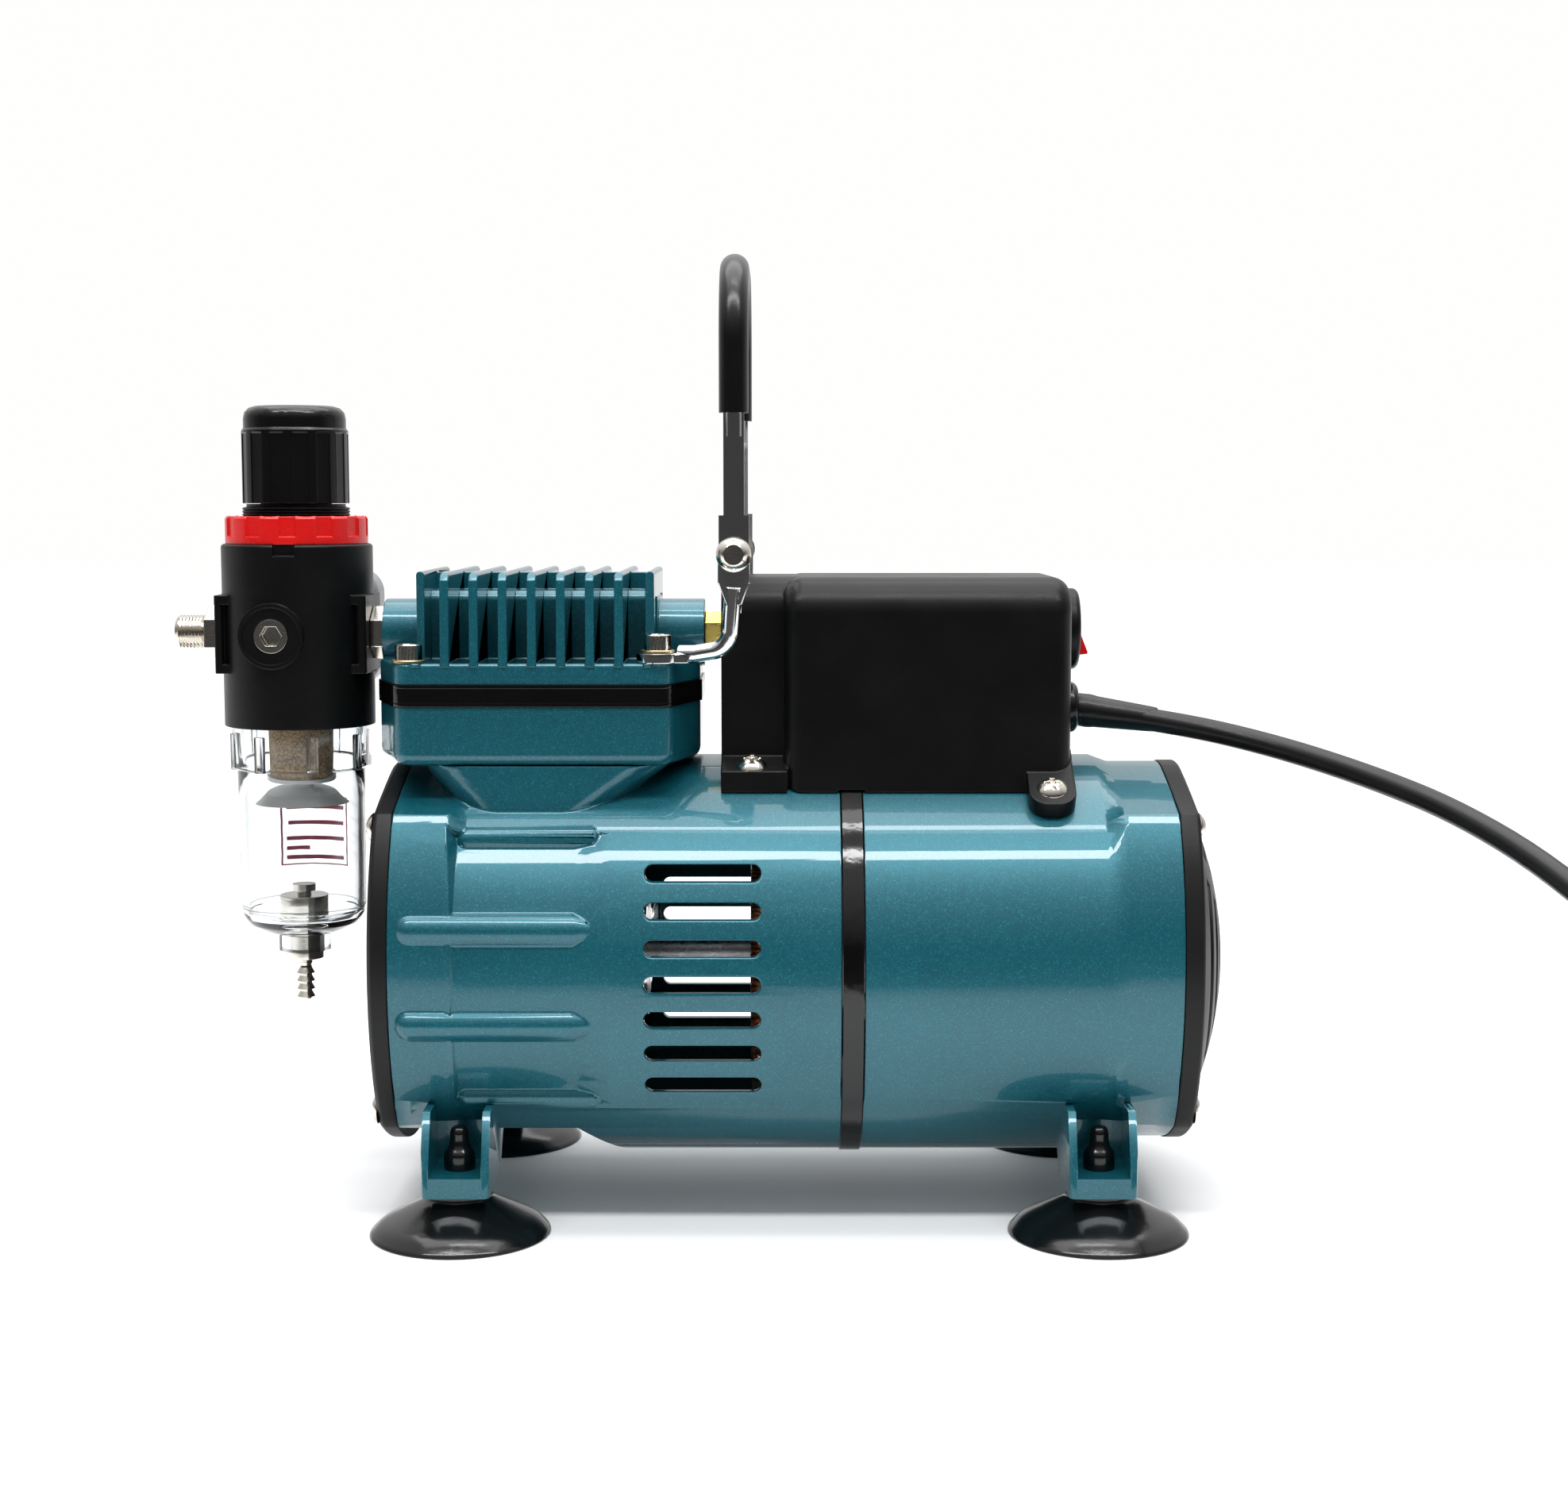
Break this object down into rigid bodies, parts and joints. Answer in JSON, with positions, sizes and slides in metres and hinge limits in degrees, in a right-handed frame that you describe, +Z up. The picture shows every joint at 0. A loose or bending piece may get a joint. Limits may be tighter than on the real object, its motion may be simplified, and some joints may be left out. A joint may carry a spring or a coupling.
{
  "type": "airbrush compressor",
  "caption": "Small oil-free piston compressor on suction feet, with a folding carrying handle, switch box, mains lead and a filter regulator with a clear bowl and gauge.",
  "frame": {"origin": "on the floor under the middle of the object's bounding box, measured without the mains lead", "axes": "+X along the motor shaft from the regulator to the fan end, +Y to the back, +Z up"},
  "size_m": [0.4801, 0.2416, 0.253],
  "materials": {
    "teal_paint": "gloss metallic flake",
    "black_plastic": "satin moulded",
    "gloss_black": "gloss",
    "black_rubber": "smooth",
    "lead_jacket": "satin jacket",
    "chrome": "bright",
    "nickel_plate": "plated",
    "steel": "ground",
    "aluminium": "machined",
    "lamination": "stacked sheet",
    "copper_wire": "enamelled",
    "white_plastic": "moulded",
    "yellow_brass": "turned",
    "red_plastic": "gloss",
    "red_rocker": "translucent",
    "sintered_bronze": "porous",
    "clear_plastic": "clear",
    "grey_plastic": "satin",
    "dial_white": "printed",
    "needle_black": "matt"
  },
  "bodies": {
    "base": {"crankcase_housing": "teal_paint", "motor_housing": "teal_paint", "joint_band": "gloss_black", "front_cover": "black_plastic", "rear_cover": "black_plastic", "cover_screws": "nickel_plate", "rear_spider": "aluminium", "suction_feet_front": "black_rubber", "suction_feet_rear": "black_rubber", "cylinder_liner": "aluminium", "gaskets": "gloss_black", "valve_plate": "gloss_black", "valve_reeds": "steel", "cylinder_head": "teal_paint", "head_screws": "nickel_plate", "stator_core": "lamination", "stator_windings": "copper_wire", "shaft_bearings": "steel", "handle_brackets": "chrome", "handle_rivets": "chrome", "switch_box": "black_plastic", "box_screws": "nickel_plate", "switch_bezel": "black_plastic", "cord_grommet": "black_rubber", "pressure_switch": "white_plastic", "brass_fitting": "yellow_brass", "run_capacitor": "white_plastic", "regulator_body": "black_plastic", "lock_ring": "red_plastic", "regulator_bonnet": "black_plastic", "regulator_spring": "steel", "diaphragm": "black_rubber", "port_plug": "nickel_plate", "outlet_fitting": "nickel_plate", "regulator_nipple": "nickel_plate", "filter_element": "sintered_bronze", "filter_baffle": "white_plastic", "bowl": "clear_plastic", "bowl_nut": "nickel_plate", "gauge_case": "grey_plastic", "gauge_dial": "dial_white", "gauge_lens": "clear_plastic", "power_lead": "lead_jacket", "lead_coil": "lead_jacket", "power_plug": "black_plastic"},
    "crank": {"motor_shaft": "steel", "crank_disc": "steel", "rotor": "lamination", "cooling_fan": "white_plastic"},
    "piston": {"connecting_rod": "aluminium", "rod_bearing": "steel", "crank_pin": "steel", "piston_cup": "black_rubber"},
    "handle": {"handle_bail": "chrome", "handle_grip": "black_rubber"},
    "adjuster": {"adjusting_screw": "steel"},
    "knob": {"regulator_knob": "black_plastic"},
    "rocker": {"rocker_button": "red_rocker"},
    "drain": {"drain_barb": "nickel_plate"},
    "needle": {"gauge_needle": "needle_black"}
  },
  "joints": [
    {"name": "shaft_spin", "type": "hinge", "parent": "base", "child": "crank", "pos_m": [0.0218, 0, 0.0655], "axis": [1, 0, 0], "continuous": true},
    {"name": "piston_stroke", "type": "slide", "parent": "base", "child": "piston", "axis": [0, 0, 1], "range_m": [0, 0.0126]},
    {"name": "handle_fold", "type": "hinge", "parent": "base", "child": "handle", "pos_m": [0.0101, 0, 0.1749], "axis": [0, 1, 0], "range_deg": [-88, 88]},
    {"name": "knob_turn", "type": "hinge", "parent": "base", "child": "adjuster", "pos_m": [-0.109, 0, 0.187], "axis": [0, 0, 1], "range_deg": [-540, 540]},
    {"name": "knob_lift", "type": "slide", "parent": "adjuster", "child": "knob", "axis": [0, 0, 1], "range_m": [0, 0.003]},
    {"name": "rocker_tilt", "type": "hinge", "parent": "base", "child": "rocker", "pos_m": [0.0975, 0, 0.154], "axis": [0, 1, 0], "range_deg": [0, 14]},
    {"name": "drain_push", "type": "slide", "parent": "base", "child": "drain", "axis": [0, 0, 1], "range_m": [0, 0.0025], "stiffness_N_per_m": 150, "springref_m": -0.002},
    {"name": "needle_turn", "type": "hinge", "parent": "base", "child": "needle", "pos_m": [-0.109, 0.0317, 0.153], "axis": [0, -1, 0], "range_deg": [0, 270], "stiffness_Nm_per_rad": 0.00005, "springref_deg": -34.38}
  ]
}
